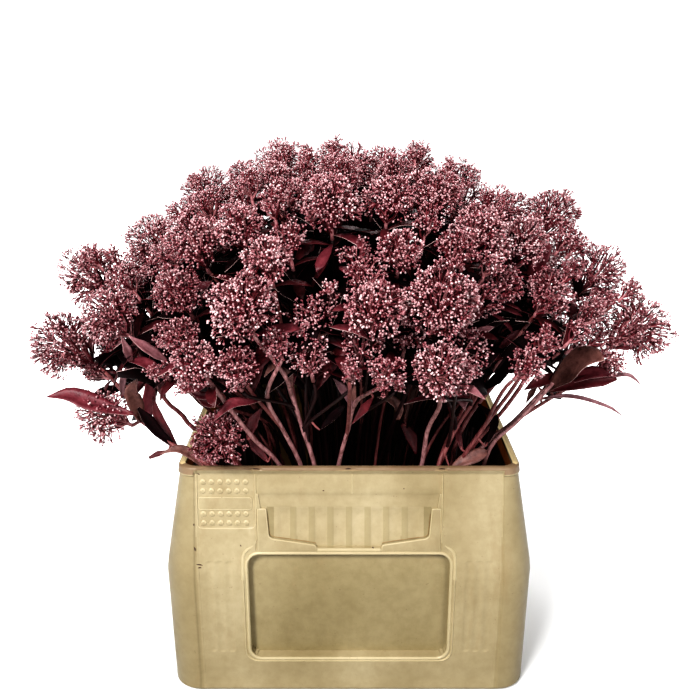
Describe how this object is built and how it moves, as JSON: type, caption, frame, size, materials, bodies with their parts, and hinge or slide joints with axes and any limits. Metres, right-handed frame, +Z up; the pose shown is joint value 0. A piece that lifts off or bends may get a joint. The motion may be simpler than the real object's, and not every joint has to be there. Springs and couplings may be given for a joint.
{
  "type": "cut skimmia bunch in plastic container",
  "caption": "Bunch of cut skimmia stems with domed flower heads and leaves, fanned out of a cream moulded plastic flower container.",
  "frame": {"origin": "middle of the container's flat underside", "axes": "+X along the container's long side, -Y towards the side with the fullest heads, +Z up"},
  "size_m": [0.7405, 0.5886, 0.6111],
  "materials": {
    "container": "cream moulded polypropylene, satin, scuffed, with a few grey dirt marks",
    "stem": "woody stem dyed burgundy, satin, with fine lengthwise bark relief",
    "bloom": "bud heads and leaves dyed burgundy, satin, with paler pink bud tips and leaf edges"
  },
  "bodies": {
    "root": {"bloom_back_1": "bloom", "bloom_back_10": "bloom", "bloom_back_2": "bloom", "bloom_back_3": "bloom", "bloom_back_4": "bloom", "bloom_back_5": "bloom", "bloom_back_6": "bloom", "bloom_back_7": "bloom", "bloom_back_8": "bloom", "bloom_back_9": "bloom", "bloom_front_1": "bloom", "bloom_front_10": "bloom", "bloom_front_11": "bloom", "bloom_front_12": "bloom", "bloom_front_13": "bloom", "bloom_front_14": "bloom", "bloom_front_2": "bloom", "bloom_front_3": "bloom", "bloom_front_4": "bloom", "bloom_front_5": "bloom", "bloom_front_6": "bloom", "bloom_front_7": "bloom", "bloom_front_8": "bloom", "bloom_front_9": "bloom", "bloom_left_1": "bloom", "bloom_left_2": "bloom", "bloom_left_3": "bloom", "bloom_left_4": "bloom", "bloom_left_5": "bloom", "bloom_left_6": "bloom", "bloom_left_7": "bloom", "bloom_right_1": "bloom", "bloom_right_2": "bloom", "bloom_right_3": "bloom", "bloom_right_4": "bloom", "bloom_right_5": "bloom", "bloom_right_6": "bloom", "bloom_top_1": "bloom", "bloom_top_2": "bloom", "bloom_top_3": "bloom", "bloom_top_4": "bloom", "bloom_top_5": "bloom", "bloom_top_6": "bloom", "container": "container", "stem_back_4": "stem", "stem_back_9": "stem", "stem_front_1": "stem", "stem_front_2": "stem", "stem_front_3": "stem", "stem_front_4": "stem", "stem_front_6": "stem", "stem_front_9": "stem", "stem_left_1": "stem", "stem_left_2": "stem", "stem_left_4": "stem", "stem_left_5": "stem", "stem_left_6": "stem", "stem_right_1": "stem", "stem_right_2": "stem", "stem_right_3": "stem"}
  },
  "joints": []
}
